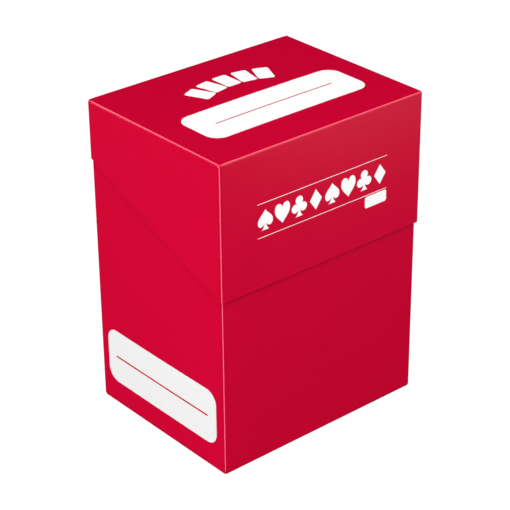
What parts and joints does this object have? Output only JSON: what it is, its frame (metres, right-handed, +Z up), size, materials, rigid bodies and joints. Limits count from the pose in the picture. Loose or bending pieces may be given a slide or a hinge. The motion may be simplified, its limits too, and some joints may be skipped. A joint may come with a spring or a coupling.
{
  "type": "card deck box",
  "caption": "Upright flip-top box for a deck of trading cards, folded from creased plastic sheet, with a hinged cap lid and a loose divider.",
  "frame": {"origin": "middle of the base, on the surface the box stands on", "axes": "+Z up, the front wall faces -Y, +X is to the right as seen from the front"},
  "size_m": [0.0754, 0.059, 0.0989],
  "materials": {
    "red_sheet": "satin moulded polypropylene with a fine grain",
    "white_print": "matt screen-printed ink"
  },
  "bodies": {
    "case": {"back_left_corner_fold": "red_sheet", "back_right_corner_fold": "red_sheet", "back_wall": "red_sheet", "bottom_back_fold": "red_sheet", "bottom_front_fold": "red_sheet", "bottom_panel": "red_sheet", "bottom_tuck_flap": "red_sheet", "front_left_corner_fold": "red_sheet", "front_right_corner_fold": "red_sheet", "front_wall": "red_sheet", "left_dust_flap": "red_sheet", "left_dust_flap_fold": "red_sheet", "left_wall": "red_sheet", "right_dust_flap": "red_sheet", "right_dust_flap_fold": "red_sheet", "right_wall": "red_sheet", "seam_tab": "red_sheet", "side_writing_field": "white_print"},
    "lid": {"front_print_lower_rule": "white_print", "front_print_suit_1": "white_print", "front_print_suit_2": "white_print", "front_print_suit_3": "white_print", "front_print_suit_4": "white_print", "front_print_suit_5": "white_print", "front_print_suit_6": "white_print", "front_print_suit_7": "white_print", "front_print_suit_8": "white_print", "front_print_tag": "white_print", "front_print_upper_rule": "white_print", "lid_front_flap": "red_sheet", "lid_front_fold": "red_sheet", "lid_hinge_strip": "red_sheet", "lid_left_corner_fold": "red_sheet", "lid_left_flap": "red_sheet", "lid_left_fold": "red_sheet", "lid_right_corner_fold": "red_sheet", "lid_right_flap": "red_sheet", "lid_right_fold": "red_sheet", "lid_top": "red_sheet", "top_print_card_1": "white_print", "top_print_card_2": "white_print", "top_print_card_3": "white_print", "top_print_card_4": "white_print", "top_print_card_5": "white_print", "top_writing_field": "white_print"},
    "divider": {"card_divider": "red_sheet"}
  },
  "joints": [
    {"name": "lid_hinge", "type": "hinge", "parent": "case", "child": "lid", "pos_m": [0, 0.0295, 0.0988], "axis": [-1, 0, 0], "range_deg": [0, 260], "deforming": ["lid_hinge_strip"]},
    {"name": "divider_slide", "type": "slide", "parent": "case", "child": "divider", "axis": [0, -1, 0], "range_m": [0, 0.0545]}
  ]
}
